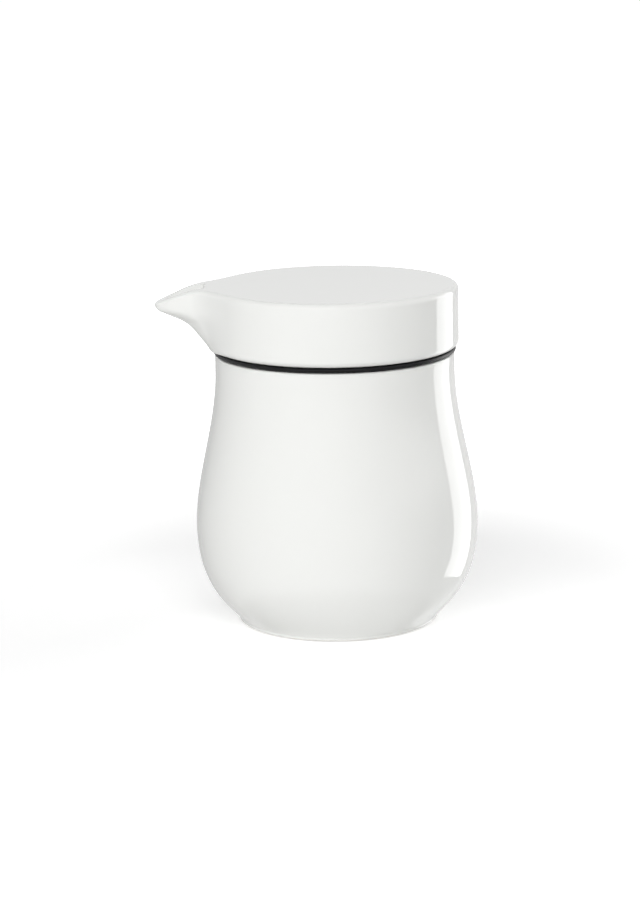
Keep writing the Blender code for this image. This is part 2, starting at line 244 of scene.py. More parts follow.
# %% [markdown]
# ## The silicone ring
# Only a thin black line of it shows, the flange between the lid and the rim. Under it a sleeve holds
# on to the lid's collar, and three fins press on the neck's bore. It is one more turned profile,
# this time a closed one, with moulded edges a few tenths of a millimetre round.

# %% The ring's profile
FIT_GAP = 0.3 * MILLIMETRE
FLANGE_ROUND = 0.6 * MILLIMETRE
SLEEVE_WALL = 1.4 * MILLIMETRE
FIN_REACH = 1.0 * MILLIMETRE
FIN_THICKNESS = 0.9 * MILLIMETRE
FIN_COUNT = 3
FIN_ROUND = 0.15 * MILLIMETRE

flange_bottom = POT_HEIGHT + FIT_GAP
fin_edge = bore_radius - FIT_GAP
sleeve_outer = fin_edge - FIN_REACH
sleeve_inner = sleeve_outer - SLEEVE_WALL
fin_pitch = (flange_bottom - SLEEVE_BOTTOM) / FIN_COUNT
flange_middle = (flange_bottom + FLANGE_TOP) / 2
ring_corners = [
    (sleeve_inner, flange_middle, 0),
    (sleeve_inner, FLANGE_TOP, FIN_ROUND),
    (FLANGE_RADIUS, FLANGE_TOP, FLANGE_ROUND),
    (FLANGE_RADIUS, flange_bottom, FLANGE_ROUND),
    (sleeve_outer, flange_bottom, FIN_ROUND),
]
for fin in range(FIN_COUNT):
    fin_height = flange_bottom - fin_pitch * (fin + 0.5)
    ring_corners += [
        (sleeve_outer, fin_height + FIN_THICKNESS, FIN_ROUND),
        (fin_edge, fin_height + FIN_THICKNESS / 2, FIN_ROUND),
        (fin_edge, fin_height, FIN_ROUND),
        (sleeve_outer, fin_height - FIN_THICKNESS, FIN_ROUND),
    ]
ring_corners += [
    (sleeve_outer, SLEEVE_BOTTOM, FIN_ROUND),
    (sleeve_inner, SLEEVE_BOTTOM, FIN_ROUND),
    (sleeve_inner, flange_middle, 0),
]
ring_profile = rounded(ring_corners)[:-1]
seal = finished_piece("silicone_ring", turned(ring_profile, closed=True))

# %% [markdown]
# ## The lid in plan
# Seen from above, the lid is a circle that runs out through a hollow curve into a slightly tapered
# lip with a blunt, round nose. A sculptor would pull the lip out of a disc. Here each outline is two
# Bezier curves and an arc, so that the outer wall and the channel inside it come from the same few
# sizes. A third outline is the open slot over the lip, which ends at the front of the top plate.

# %% Outlines of the lid's wall and of the channel in it
SPOUT_ROOT = math.radians(34)
LIP_LENGTH = 12.5 * MILLIMETRE
LIP_WIDTH = 17.4 * MILLIMETRE
LIP_TAPER = math.radians(19)
NOSE_FULLNESS = 0.84
BLEND_FULLNESS = 0.76
NOSE_COLUMNS = 26
BLEND_COLUMNS = 30
BACK_COLUMNS = 64


def plan_point(out, side):
    """A point in plan, given its distance out along the spout and its distance to the side."""
    return Vector((-out, side))


def crossing(point_a, along_a, point_b, along_b):
    """Where two lines in a plane cross, each given by a point and a direction."""
    directions = np.array([along_a, -along_b]).T
    step, _ = np.linalg.solve(directions, np.array(point_b - point_a))
    return point_a + along_a * step


def soft_corner(start, corner, end, fullness, columns):
    """A Bezier curve from start to end that leans into their common corner."""
    return interpolate_bezier(start, start.lerp(corner, fullness), end.lerp(corner, fullness), end,
                              columns + 1)


taper = plan_point(math.cos(LIP_TAPER), -math.sin(LIP_TAPER))
across = plan_point(0, 1)


def lid_outline(radius, reach, setback):
    """Half an outline, from the spout's tip round to the middle of the back."""
    leave = plan_point(math.sin(SPOUT_ROOT), -math.cos(SPOUT_ROOT))
    inward = plan_point(-math.sin(LIP_TAPER), -math.cos(LIP_TAPER))
    tip = plan_point(reach, 0)
    waist = plan_point(SPOUT_REACH - LIP_LENGTH, LIP_WIDTH / 2) + inward * setback
    root = plan_point(radius * math.cos(SPOUT_ROOT), radius * math.sin(SPOUT_ROOT))
    nose = soft_corner(tip, crossing(waist, taper, tip, across), waist, NOSE_FULLNESS, NOSE_COLUMNS)
    hollow = crossing(waist, taper, root, leave)
    blend = soft_corner(waist, hollow, root, BLEND_FULLNESS, BLEND_COLUMNS)
    back = []
    for column in range(1, BACK_COLUMNS + 1):
        angle = SPOUT_ROOT + (math.pi - SPOUT_ROOT) * column / BACK_COLUMNS
        back.append(plan_point(radius * math.cos(angle), radius * math.sin(angle)))
    return nose + blend[1:] + back


LID_WALL = 3.2 * MILLIMETRE
LIP_WALL = 5.6 * MILLIMETRE
NOSE_WALL = 8.4 * MILLIMETRE
cavity_radius = LID_RADIUS - LID_WALL
channel_reach = SPOUT_REACH - NOSE_WALL
outer = lid_outline(LID_RADIUS, SPOUT_REACH, 0)
channel = lid_outline(cavity_radius, channel_reach, LIP_WALL)
print("half an outline has", len(outer), "columns")

# %% Outline of the open slot over the lip
SLOT_SETBACK = 17.4 * MILLIMETRE
SLOT_EDGE_HALF = 3.5 * MILLIMETRE


def slot_outline():
    """Along the channel's edge, then across the front of the lid's top plate."""
    waist = channel[NOSE_COLUMNS]
    edge_middle = plan_point(SPOUT_REACH - SLOT_SETBACK, 0)
    edge_end = plan_point(SPOUT_REACH - SLOT_SETBACK, SLOT_EDGE_HALF)
    corner = crossing(waist, taper, edge_end, across)
    side = soft_corner(waist, corner, edge_end, BLEND_FULLNESS, BLEND_COLUMNS)
    steps = range(1, BACK_COLUMNS + 1)
    edge = [edge_end.lerp(edge_middle, step / BACK_COLUMNS) for step in steps]
    return channel[:NOSE_COLUMNS] + side + edge


def outward_normals(outline):
    """Unit normals of a half outline, pointing away from what it goes round."""
    mirror = Vector((1, -1))
    closed = [outline[1] * mirror] + outline + [outline[-2] * mirror]
    normals = []
    for before, after in zip(closed, closed[2:]):
        along = (after - before).normalized()
        normals.append(Vector((-along.y, along.x)))
    return normals


slot = slot_outline()
outer_normals = outward_normals(outer)
slot_normals = outward_normals(slot)
print(f"the slot is {(channel_reach - SPOUT_REACH + SLOT_SETBACK) / MILLIMETRE:.1f} mm long")

# %% [markdown]
# ## The lid in height
# From the side the lip's rim falls towards the tip, and its keel comes up from the foot of the lid's
# wall, bends, and runs out nearly straight to the nose. These two lines could be traced by hand with
# a curve object, but the walls need them as numbers: the rim gives the height over each point in
# plan, and the keel says how much of the spout is left at each height, all of it at the rim and
# none at the lid's lower edge.

# %% Height of the rim and shape of the keel
NOSE_DEPTH = 7.8 * MILLIMETRE
NOSE_ROUND = 3.0 * MILLIMETRE
LIP_RISE = math.radians(23)
KEEL_BEND = 7.8 * MILLIMETRE
KEEL_BEND_ROUND = 15.0 * MILLIMETRE
KEEL_RUNOUT = 0.5 * MILLIMETRE
KEEL_ARC_STEPS = 40
KEEL_SHARPNESS = 1.1
RIM_FALL = math.tan(math.radians(21.5))
RIM_FALL_LENGTH = 14.4 * MILLIMETRE
RIM_BEND_LENGTH = 8.0 * MILLIMETRE
lid_bottom = FLANGE_TOP + FIT_GAP


def lip_top(point):
    """Height of the lid's top over a point in plan: level, then falling along the lip to the tip."""
    past = -point.x - (SPOUT_REACH - RIM_FALL_LENGTH) + RIM_BEND_LENGTH / 2
    if past <= 0:
        return LID_TOP
    if past < RIM_BEND_LENGTH:
        return LID_TOP - RIM_FALL * past * past / (2 * RIM_BEND_LENGTH)
    return LID_TOP - RIM_FALL * (past - RIM_BEND_LENGTH / 2)


def spout_share(radius, reach, setback):
    """A function that gives the share of the spout's length that is left at a height."""
    nose = Vector((SPOUT_REACH, LID_TOP - NOSE_DEPTH))
    bend_out = LID_RADIUS + KEEL_BEND
    bend = Vector((bend_out, nose.y - (SPOUT_REACH - bend_out) * math.tan(LIP_RISE)))
    keel_foot = Vector((LID_RADIUS, lid_bottom - KEEL_RUNOUT))
    lip = (bend - nose).normalized()
    wall = (keel_foot - bend).normalized()
    nose += Vector((lip.y, -lip.x)) * setback
    keel_foot += Vector((wall.y, -wall.x)) * setback
    nose = crossing(nose, lip, Vector((reach, 0)), Vector((0, 1)))
    bend = crossing(nose, lip, keel_foot, wall)
    keel = rounded([(reach, LID_TOP, 0), (*nose, NOSE_ROUND), (*bend, KEEL_BEND_ROUND),
                    (*keel_foot, 0)], KEEL_ARC_STEPS)
    heights = [point.y for point in reversed(keel)]
    shares = [(point.x - radius) / (reach - radius) for point in reversed(keel)]
    return lambda height: float(np.interp(height, heights, shares))


outer_share = spout_share(LID_RADIUS, SPOUT_REACH, 0)
channel_share = spout_share(cavity_radius, channel_reach, LID_WALL)
print(f"the rim falls {(LID_TOP - lip_top(outer[0])) / MILLIMETRE:.1f} mm to the tip")

# %% [markdown]
# ## The lid as one skin
# Disc, lip and collar are cast hollow in one piece. Side by side round the lid stand closed profiles:
# over the top from the slot to the edge, down the outside, round the collar, up through the cavity
# and back to the slot. The skin is one row of edges, extruded from row to row along those profiles
# for half the lid, and mirrored. Glaze runs thick into the trough, so the slot's edge is long and soft
# round the lip, and crisp along the front of the top plate. Rows close to each round keep the flat
# top flat when it is shaded.

# %% The collar's profile
BEAD_REACH = 0.9 * MILLIMETRE
BEAD_HEIGHT = 2.4 * MILLIMETRE
COLLAR_ROUND = 0.7 * MILLIMETRE
BEAD_ROUND = 0.3 * MILLIMETRE
cavity_floor = lid_bottom + LID_WALL
cavity_top = LID_TOP - LID_WALL
collar_radius = sleeve_inner - FIT_GAP
collar_bore = collar_radius - LID_WALL


def collar_path():
    """Down the collar's outside, past the bead, and up its bore to the cavity's floor."""
    bead_radius = collar_radius + BEAD_REACH
    bead_top = COLLAR_BOTTOM + BEAD_HEIGHT
    path = rounded([
        (LID_RADIUS, lid_bottom, 0),
        (collar_radius, lid_bottom, BEAD_ROUND),
        (collar_radius, bead_top, BEAD_ROUND),
        (bead_radius, bead_top, BEAD_ROUND),
        (bead_radius, COLLAR_BOTTOM, COLLAR_ROUND),
        (collar_bore, COLLAR_BOTTOM, COLLAR_ROUND),
        (collar_bore, cavity_floor, COLLAR_ROUND),
        (cavity_radius, cavity_floor, 0),
    ], ARC_STEPS // 2)
    return path[1:-1]


collar = collar_path()
print(f"the collar is {2 * collar_bore / MILLIMETRE:.1f} mm across inside")

# %% Where each column of the lid stands
lengths = np.cumsum([0] + [(after - before).length for before, after in zip(outer, outer[1:])])
root_column = NOSE_COLUMNS + BLEND_COLUMNS


def column_angle(column):
    """The angle round the axis at which a column of the spout runs down into the lid's collar."""
    if column <= root_column:
        return SPOUT_ROOT * (lengths[column] / lengths[root_column]) ** KEEL_SHARPNESS
    return SPOUT_ROOT + (math.pi - SPOUT_ROOT) * (column - root_column) / BACK_COLUMNS


def back_share(column):
    """0 along the open lip, 1 round the lid's circle, and a smooth change where they run together."""
    share = min(max((column - NOSE_COLUMNS) / BLEND_COLUMNS, 0), 1)
    return share * share * (3 - 2 * share)


print(f"the outline is {2 * lengths[-1] / MILLIMETRE:.0f} mm round")

# %% Over the top of the lid
SLOT_EDGE_WIDE = 2.0 * MILLIMETRE
SLOT_EDGE_DEEP = 2.4 * MILLIMETRE
SLOT_EDGE_FLATNESS = 1.5
NOSE_EDGE_WIDE = 4.0 * MILLIMETRE
PLATE_EDGE_ROUND = 0.5 * MILLIMETRE
SUPPORT = 0.15 * MILLIMETRE
TOP_ROWS = 10
quarter = [math.pi / 2 * step / ARC_STEPS for step in range(ARC_STEPS + 1)]


def slot_edge(column, share):
    """Width and depth of the slot's soft edge: longest at the nose, small along the top plate."""
    nearness = max(1 - column / NOSE_COLUMNS, 0)
    wide = SLOT_EDGE_WIDE + (NOSE_EDGE_WIDE - SLOT_EDGE_WIDE) * nearness
    wide += (PLATE_EDGE_ROUND - wide) * share
    return wide, SLOT_EDGE_DEEP + (PLATE_EDGE_ROUND - SLOT_EDGE_DEEP) * share


def top_points(column, edge_round, share):
    """From the slot's soft edge over the top to the start of the outer wall."""
    points = []
    wide, deep = slot_edge(column, share)
    inner = slot[column] + slot_normals[column] * wide
    slot_low = lip_top(slot[column]) - deep
    for turn in quarter:
        place = inner - slot_normals[column] * wide * math.cos(turn) ** SLOT_EDGE_FLATNESS
        rise = (lip_top(inner) - slot_low) * math.sin(turn) ** SLOT_EDGE_FLATNESS
        points.append((*place, slot_low + rise))
    edge = outer[column] - outer_normals[column] * edge_round
    support = SUPPORT / max((edge - inner).length, 2 * SUPPORT)
    for part in [support] + [row / TOP_ROWS for row in range(1, TOP_ROWS)] + [1 - support]:
        place = inner.lerp(edge, part)
        points.append((*place, lip_top(place)))
    wall_top = lip_top(edge) - edge_round
    for turn in reversed(quarter):
        place = edge + outer_normals[column] * edge_round * math.cos(turn)
        points.append((*place, wall_top + edge_round * math.sin(turn)))
    return points, slot_low, wall_top


nose_edge = [round(size / MILLIMETRE, 2) for size in slot_edge(0, back_share(0))]
print("at the nose the slot's edge is", nose_edge, "mm wide and deep")

# %% Down the outer wall, and up inside
WALL_ROWS = 44


def wall_points(column, radial, wall_top, bottom_round):
    """Down the outer wall and round its lower edge."""
    points = []
    wall_low = lid_bottom + bottom_round
    for row in range(1, WALL_ROWS):
        height = wall_top + (wall_low - wall_top) * row / WALL_ROWS
        place = (radial * LID_RADIUS).lerp(outer[column], outer_share(height))
        points.append((*place, height))
    low_edge = (radial * LID_RADIUS).lerp(outer[column], outer_share(wall_low))
    for turn in quarter:
        place = low_edge - radial * bottom_round * (1 - math.cos(turn))
        points.append((*place, wall_low - bottom_round * math.sin(turn)))
    return points


def cavity_points(column, radial, slot_low, share):
    """Up the wall of the cavity and the channel, and under the top plate to the slot."""
    points = []
    lip_low = slot_low - 2 * SUPPORT
    wall_high = lip_low + (cavity_top - lip_low) * share
    for row in range(WALL_ROWS + 1):
        height = cavity_floor + (wall_high - cavity_floor) * row / WALL_ROWS
        place = (radial * cavity_radius).lerp(channel[column], channel_share(height))
        points.append((*place, height))
    plate_low = lip_low + SUPPORT + (cavity_top - lip_low - SUPPORT) * share
    points.append((*slot[column], plate_low))
    return points


print("the lid's walls have", WALL_ROWS, "rows")

# %% One closed profile for each column
LID_TOP_ROUND = 2.0 * MILLIMETRE
LID_BOTTOM_ROUND = 2.2 * MILLIMETRE
SPOUT_BOTTOM_ROUND = 0.4 * MILLIMETRE
LIP_EDGE_ROUND = 1.5 * MILLIMETRE


def lid_column(column):
    """The closed profile of one column, tip at column 0, as points in the boat's own frame."""
    angle = column_angle(column)
    radial = plan_point(math.cos(angle), math.sin(angle))
    share = back_share(column)
    edge_round = LIP_EDGE_ROUND + (LID_TOP_ROUND - LIP_EDGE_ROUND) * share
    points, slot_low, wall_top = top_points(column, edge_round, share)
    bottom_round = SPOUT_BOTTOM_ROUND + (LID_BOTTOM_ROUND - SPOUT_BOTTOM_ROUND) * share
    points += wall_points(column, radial, wall_top, bottom_round)
    points += [(*(radial * r), z) for r, z in collar]
    points += cavity_points(column, radial, slot_low, share)
    return [Vector(point) + Vector((AXIS_X, 0, 0)) for point in points]


columns = [lid_column(column) for column in range(len(outer))]
print("a profile has", len(columns[0]), "points")

# %% The skin: extruded row by row, mirrored and welded
def extruded_row(bm, verts, edges, row):
    """The row of edges extruded once, with the new row set in its place."""
    made = bmesh.ops.extrude_edge_only(bm, edges=edges)["geom"]
    fresh = {item for item in made if isinstance(item, bmesh.types.BMVert)}
    next_verts = []
    for vert, place in zip(verts, row):
        neighbours = [edge.other_vert(vert) for edge in vert.link_edges]
        above = next(neighbour for neighbour in neighbours if neighbour in fresh)
        above.co = place
        next_verts.append(above)
    return next_verts, [bm.edges.get(pair) for pair in zip(next_verts, next_verts[1:])]


rows = list(zip(*columns))
bm = bmesh.new()
row_verts = [bm.verts.new(place) for place in rows[0]]
row_edges = [bm.edges.new(pair) for pair in zip(row_verts, row_verts[1:])]
for row in rows[1:] + rows[:1]:
    row_verts, row_edges = extruded_row(bm, row_verts, row_edges, row)
half_lid = bm.verts[:] + bm.edges[:] + bm.faces[:]
bmesh.ops.mirror(bm, geom=half_lid, merge_dist=WELD_DISTANCE, axis="Y")
lid = finished_piece("pouring_lid_porcelain", bm)

# %% [markdown]
# ## Glaze
# Glaze is a thin layer of glass over a white body. It is never quite level: it settles in soft waves
# that bend a highlight by a hair, and its white changes a little over the hand's breadth. Where the
# piece stands in the kiln, the foot ring and the collar's end, the glaze is wiped off and the matt
# body shows. A painted texture would need an unwrapped mesh. Noise on the piece's own coordinates
# needs none, and pot and lid share it as one node group with the height of the bare edge as an
# input.

# %% The node group for glazed porcelain
def add_node(tree, kind, place, **settings):
    """A node of one kind at a place in the editor, with its settings."""
    node = tree.nodes.new(kind)
    node.location = place
    for name, value in settings.items():
        setattr(node, name, value)
    return node


def noise(tree, vector, place, scale, detail):
    """A noise texture on the given coordinates; the scale is in patches for each metre."""
    node = add_node(tree, "ShaderNodeTexNoise", place)
    node.inputs["Scale"].default_value = scale
    node.inputs["Detail"].default_value = detail
    tree.links.new(vector, node.inputs["Vector"])
    return node.outputs["Fac"]


def combine(tree, operation, first, second, place):
    """A Math node of one operation on two sockets or numbers."""
    node = add_node(tree, "ShaderNodeMath", place, operation=operation)
    for socket, value in zip(node.inputs, (first, second)):
        if isinstance(value, bpy.types.NodeSocket):
            tree.links.new(value, socket)
        else:
            socket.default_value = value
    return node.outputs["Value"]


def spread(tree, value, low, high, place, source=(0.0, 1.0)):
    """A value moved from one range to another, and held inside it."""
    node = add_node(tree, "ShaderNodeMapRange", place)
    tree.links.new(value, node.inputs["Value"])
    node.inputs["From Min"].default_value = source[0]
    node.inputs["From Max"].default_value = source[1]
    node.inputs["To Min"].default_value = low
    node.inputs["To Max"].default_value = high
    return node.outputs["Result"]


def blended(tree, factor, first, second, place):
    """A colour between two colours, which are sockets or plain values."""
    node = add_node(tree, "ShaderNodeMix", place, data_type="RGBA")
    tree.links.new(factor, node.inputs["Factor"])
    for socket, value in zip((node.inputs[6], node.inputs[7]), (first, second)):
        if isinstance(value, bpy.types.NodeSocket):
            tree.links.new(value, socket)
        else:
            socket.default_value = (*value, 1)
    return node.outputs[2]


print("node helpers are ready")

# %% What the group holds
GLAZE_WHITE = (0.855, 0.860, 0.840)
GLAZE_DEEP = (0.838, 0.845, 0.822)
BARE_BODY = (0.775, 0.760, 0.725)
GLAZE_ROUGHNESS = (0.045, 0.075)
BARE_ROUGHNESS = 0.62
WAVES_PER_METRE = 42
WAVE_DEPTH = 0.010 * MILLIMETRE
TONES_PER_METRE = 14
GLOSSES_PER_METRE = 56
GRAINS_PER_METRE = 5200
GRAIN_DEPTH = 0.012 * MILLIMETRE
WIPES_PER_METRE = 260
WIPE_WANDER = 0.35 * MILLIMETRE
WIPE_SOFTNESS = 0.12 * MILLIMETRE


def glaze_group():
    """Colour, roughness and height of glazed porcelain that is bare under a given height."""
    tree = bpy.data.node_groups.new("glazed_porcelain", "ShaderNodeTree")
    bare_top = tree.interface.new_socket("Bare Below", in_out="INPUT", socket_type="NodeSocketFloat")
    bare_top.default_value = 0
    tree.interface.new_socket("Colour", in_out="OUTPUT", socket_type="NodeSocketColor")
    tree.interface.new_socket("Roughness", in_out="OUTPUT", socket_type="NodeSocketFloat")
    tree.interface.new_socket("Height", in_out="OUTPUT", socket_type="NodeSocketFloat")
    entry = add_node(tree, "NodeGroupInput", (-1200, -300))
    leave = add_node(tree, "NodeGroupOutput", (700, 0))
    where = add_node(tree, "ShaderNodeTexCoord", (-1200, 100)).outputs["Object"]

    axes = add_node(tree, "ShaderNodeSeparateXYZ", (-1000, -100))
    tree.links.new(where, axes.inputs["Vector"])
    wiping = noise(tree, where, (-1000, -450), WIPES_PER_METRE, 2)
    wander = spread(tree, wiping, -WIPE_WANDER, WIPE_WANDER, (-800, -450))
    above = combine(tree, "SUBTRACT", axes.outputs["Z"], entry.outputs["Bare Below"], (-800, -200))
    wiped = combine(tree, "ADD", above, wander, (-600, -250))
    glazed = spread(tree, wiped, 0, 1, (-400, -250), source=(-WIPE_SOFTNESS, WIPE_SOFTNESS))

    tone = noise(tree, where, (-1000, 400), TONES_PER_METRE, 3)
    glaze_colour = blended(tree, tone, GLAZE_DEEP, GLAZE_WHITE, (-400, 400))
    colour = blended(tree, glazed, BARE_BODY, glaze_colour, (0, 300))
    settling = noise(tree, where, (-1000, 200), GLOSSES_PER_METRE, 4)
    gloss = spread(tree, settling, *GLAZE_ROUGHNESS, (-600, 150))
    matt_share = combine(tree, "SUBTRACT", 1, glazed, (-200, 0))
    matt = combine(tree, "MULTIPLY", matt_share, BARE_ROUGHNESS, (0, 50))
    roughness = combine(tree, "MAXIMUM", gloss, matt, (200, 100))

    flow = noise(tree, where, (-600, -500), WAVES_PER_METRE, 1)
    waves = combine(tree, "MULTIPLY", flow, WAVE_DEPTH, (-200, -400))
    pores = noise(tree, where, (-600, -700), GRAINS_PER_METRE, 2)
    grain = combine(tree, "MULTIPLY", pores, GRAIN_DEPTH, (-200, -650))
    bare_grain = combine(tree, "MULTIPLY", grain, matt_share, (0, -600))
    height = combine(tree, "ADD", waves, bare_grain, (200, -450))

    tree.links.new(colour, leave.inputs["Colour"])
    tree.links.new(roughness, leave.inputs["Roughness"])
    tree.links.new(height, leave.inputs["Height"])
    return tree


glaze = glaze_group()
print("glaze group:", len(glaze.nodes), "nodes")

# %% Porcelain for the pot and for the lid
GLASS_IOR = 1.5
BARE_EDGE = 0.45 * MILLIMETRE


def surface(name, links_from):
    """A material and its shader; links_from gives the sockets for colour, roughness and height."""
    material = bpy.data.materials.new(name)
    material.use_nodes = True
    tree = material.node_tree
    shader = tree.nodes["Principled BSDF"]
    colour, roughness, height = links_from(tree)
    bump = add_node(tree, "ShaderNodeBump", (-200, -300))
    bump.inputs["Strength"].default_value = 1
    bump.inputs["Distance"].default_value = 1
    tree.links.new(height, bump.inputs["Height"])
    tree.links.new(bump.outputs["Normal"], shader.inputs["Normal"])
    tree.links.new(colour, shader.inputs["Base Color"])
    tree.links.new(roughness, shader.inputs["Roughness"])
    return material, shader


def porcelain(name, bare_below):
    """Glazed porcelain that is bare under one height."""
    def links_from(tree):
        group = add_node(tree, "ShaderNodeGroup", (-500, 0), node_tree=glaze)
        group.inputs["Bare Below"].default_value = bare_below
        return group.outputs["Colour"], group.outputs["Roughness"], group.outputs["Height"]
    material, shader = surface(name, links_from)
    shader.inputs["IOR"].default_value = GLASS_IOR
    return material


collar_bare = COLLAR_BOTTOM + BARE_EDGE
pot.data.materials.append(porcelain("pot_porcelain", BARE_EDGE))
lid.data.materials.append(porcelain("lid_porcelain", collar_bare))
bare_heights = [round(height / MILLIMETRE, 2) for height in (BARE_EDGE, collar_bare)]
print("pot and lid are bare under", bare_heights, "mm")

# %% [markdown]
# ## Silicone
# The ring is black silicone rubber with the dull skin of its mould. A plain black would look like a
# painted line, so it gets a fine grain, a slow change of gloss and a trace of dust. Silicone bends
# light less than glaze does, so its index is lower and its shine is turned down. Both are the same
# all over and are set on the shader itself.

# %% Black silicone
SILICONE_BLACK = (0.004, 0.004, 0.005)
SILICONE_DUSTY = (0.010, 0.010, 0.011)
SILICONE_ROUGHNESS = (0.30, 0.42)
SILICONE_IOR = 1.41
SILICONE_SHINE = 0.25
MOULD_GRAINS_PER_METRE = 4200
MOULD_GRAIN_DEPTH = 0.006 * MILLIMETRE
HANDLED_PER_METRE = 130


def silicone_links(tree):
    """Grain from the mould in the height, dust and handling in the colour and the gloss."""
    where = add_node(tree, "ShaderNodeTexCoord", (-1100, 0)).outputs["Object"]
    grain = noise(tree, where, (-900, -300), MOULD_GRAINS_PER_METRE, 2)
    handled = noise(tree, where, (-900, 100), HANDLED_PER_METRE, 4)
    colour = blended(tree, handled, SILICONE_BLACK, SILICONE_DUSTY, (-500, 200))
    roughness = spread(tree, handled, *SILICONE_ROUGHNESS, (-500, 0))
    height = combine(tree, "MULTIPLY", grain, MOULD_GRAIN_DEPTH, (-500, -300))
    return colour, roughness, height


silicone, silicone_shader = surface("black_silicone", silicone_links)
silicone_shader.inputs["IOR"].default_value = SILICONE_IOR
silicone_shader.inputs["Specular IOR Level"].default_value = SILICONE_SHINE
seal.data.materials.append(silicone)
print("silicone:", len(silicone.node_tree.nodes), "nodes")

# %% [markdown]
# ## Each piece on its body
# The fine meshes ride on the bodies of the frame and stand for its solids. So the lid lifts out
# with its ring and turns on it, whatever pose the frame is set to.

# %% Pieces, bodies, nodes and material slots
for piece, body, node, material_slot in [
    (pot, "pot", "pot", "porcelain"),
    (seal, "seal", "seal_ring", "silicone"),
    (lid, "lid", "pouring_lid", "porcelain"),
]:
    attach(piece, body)
    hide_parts(node)
    print(piece.name, "rides on", body)

# %% [markdown]
# ## Table and background
# The boat stands on a plain white table in front of white paper, and for the camera both are simply
# white. More light would bleach the porcelain too, so the white is a glow that only direct looks
# see, and it lights nothing. Near the boat the table is mostly a real, lit surface, so the soft
# shadow still falls on it. Mirrors look past the table at the paper. White glaze in an all-white
# room would lose its edges, so the paper under the horizon has two grey flags, one to the right and
# one behind on the left, as a studio sets black card beside glass and china. Straight below, the
# paper has a painted shaded patch: the boat's own shadow on the table, painted into what mirrors see.

# %% White floor that keeps the shadow
FLOOR_HALF = 4.0
FLOOR_BELOW = 0.3 * MILLIMETRE
FLOOR_COLOUR = (0.75, 0.75, 0.75)
GLOW_NEAR = 0.45
GLOW_FAR = 1.0
GLOW_REACH = (0.12, 0.40)


def seen_directly(tree):
    """1 for rays that come from the camera, from a mirror or through glass, and otherwise 0."""
    rays = add_node(tree, "ShaderNodeLightPath", (-900, 200)).outputs
    first = combine(tree, "MAXIMUM", rays["Is Camera Ray"], rays["Is Glossy Ray"], (-700, 200))
    return combine(tree, "MAXIMUM", first, rays["Is Transmission Ray"], (-500, 200))


def floor_material():
    """A lit white surface, with a glow on top of it that grows outwards and only direct looks see."""
    material = bpy.data.materials.new("white_table")
    material.use_nodes = True
    tree = material.node_tree
    shader = tree.nodes["Principled BSDF"]
    shader.inputs["Base Color"].default_value = (*FLOOR_COLOUR, 1)
    shader.inputs["Roughness"].default_value = 1
    shader.inputs["Specular IOR Level"].default_value = 0
    shader.inputs["Emission Color"].default_value = (1, 1, 1, 1)
    where = add_node(tree, "ShaderNodeTexCoord", (-900, -100)).outputs["Object"]
    out = add_node(tree, "ShaderNodeVectorMath", (-700, -100), operation="LENGTH")
    tree.links.new(where, out.inputs[0])
    distance = out.outputs["Value"]
    growing = spread(tree, distance, GLOW_NEAR, GLOW_FAR, (-500, -100), source=GLOW_REACH)
    glow = combine(tree, "MULTIPLY", seen_directly(tree), growing, (-300, 100))
    tree.links.new(glow, shader.inputs["Emission Strength"])
    return material


bm = bmesh.new()
bmesh.ops.create_grid(bm, x_segments=1, y_segments=1, size=FLOOR_HALF)
bmesh.ops.translate(bm, verts=bm.verts, vec=(0, 0, -FLOOR_BELOW))
floor_mesh = bpy.data.meshes.new("table")
bm.to_mesh(floor_mesh)
bm.free()
floor = bpy.data.objects.new("table", floor_mesh)
floor_mesh.materials.append(floor_material())
floor.visible_glossy = False
bpy.context.collection.objects.link(floor)
print("table of", 2 * FLOOR_HALF, "m")

# %% White paper all round, with two grey flags and a painted shaded patch below
HORIZON = 0.07
# Painted shade straight below: between these two heights of a mirrored ray the paper falls to
# SHADED_PAPER
SHADED_BELOW = (-0.755, -0.656)
SHADED_PAPER = 0.1
FLAGS = [(-90, 1.0), (-30, 0.5), (30, 0.9), (90, 0.2), (150, 1.0)]


def low_paper(tree, axes):
    """Brightness of the paper under the horizon for each angle from straight behind the boat, with
    painted shade straight below.
    """
    around = combine(tree, "ARCTAN2", axes.outputs["X"], axes.outputs["Y"], (-900, -400))
    place = spread(tree, around, 0, 1, (-700, -400), source=(-math.pi, math.pi))
    ramp = add_node(tree, "ShaderNodeValToRGB", (-500, -400))
    tree.links.new(place, ramp.inputs["Fac"])
    stops = ramp.color_ramp.elements
    for angle, level in FLAGS:
        stops.new(angle / 360 + 0.5).color = (level, level, level, 1)
    stops.remove(stops[0])
    # Painted shade: the paper goes dark towards straight down, standing in for the boat's own shadow
    # on the table beneath it
    shade = spread(tree, axes.outputs["Z"], SHADED_PAPER, 1, (-500, -700), source=SHADED_BELOW)
    return combine(tree, "MULTIPLY", ramp.outputs["Color"], shade, (-200, -500))


def studio_world():
    """Paper that is plain white to a camera, has its flags in a mirror, and lights nothing."""
    world = bpy.data.worlds.new("white_paper")
    world.use_nodes = True
    tree = world.node_tree
    background = tree.nodes["Background"]
    background.inputs["Color"].default_value = (1, 1, 1, 1)
    direction = add_node(tree, "ShaderNodeTexCoord", (-1300, -200)).outputs["Generated"]
    axes = add_node(tree, "ShaderNodeSeparateXYZ", (-1100, -200))
    tree.links.new(direction, axes.inputs["Vector"])
    high_paper = spread(tree, axes.outputs["Z"], 0, 1, (-500, -200), source=(-HORIZON, HORIZON))
    paper = combine(tree, "MAXIMUM", low_paper(tree, axes), high_paper, (0, -300))
    camera_ray = add_node(tree, "ShaderNodeLightPath", (-200, 0)).outputs["Is Camera Ray"]
    plain = combine(tree, "MAXIMUM", paper, camera_ray, (150, -200))
    strength = combine(tree, "MULTIPLY", seen_directly(tree), plain, (300, 0))
    tree.links.new(strength, background.inputs["Strength"])
    return world


bpy.context.scene.world = studio_world()
bpy.context.scene.view_settings.view_transform = "Standard"
print("paper with", len(FLAGS), "stops round the boat")

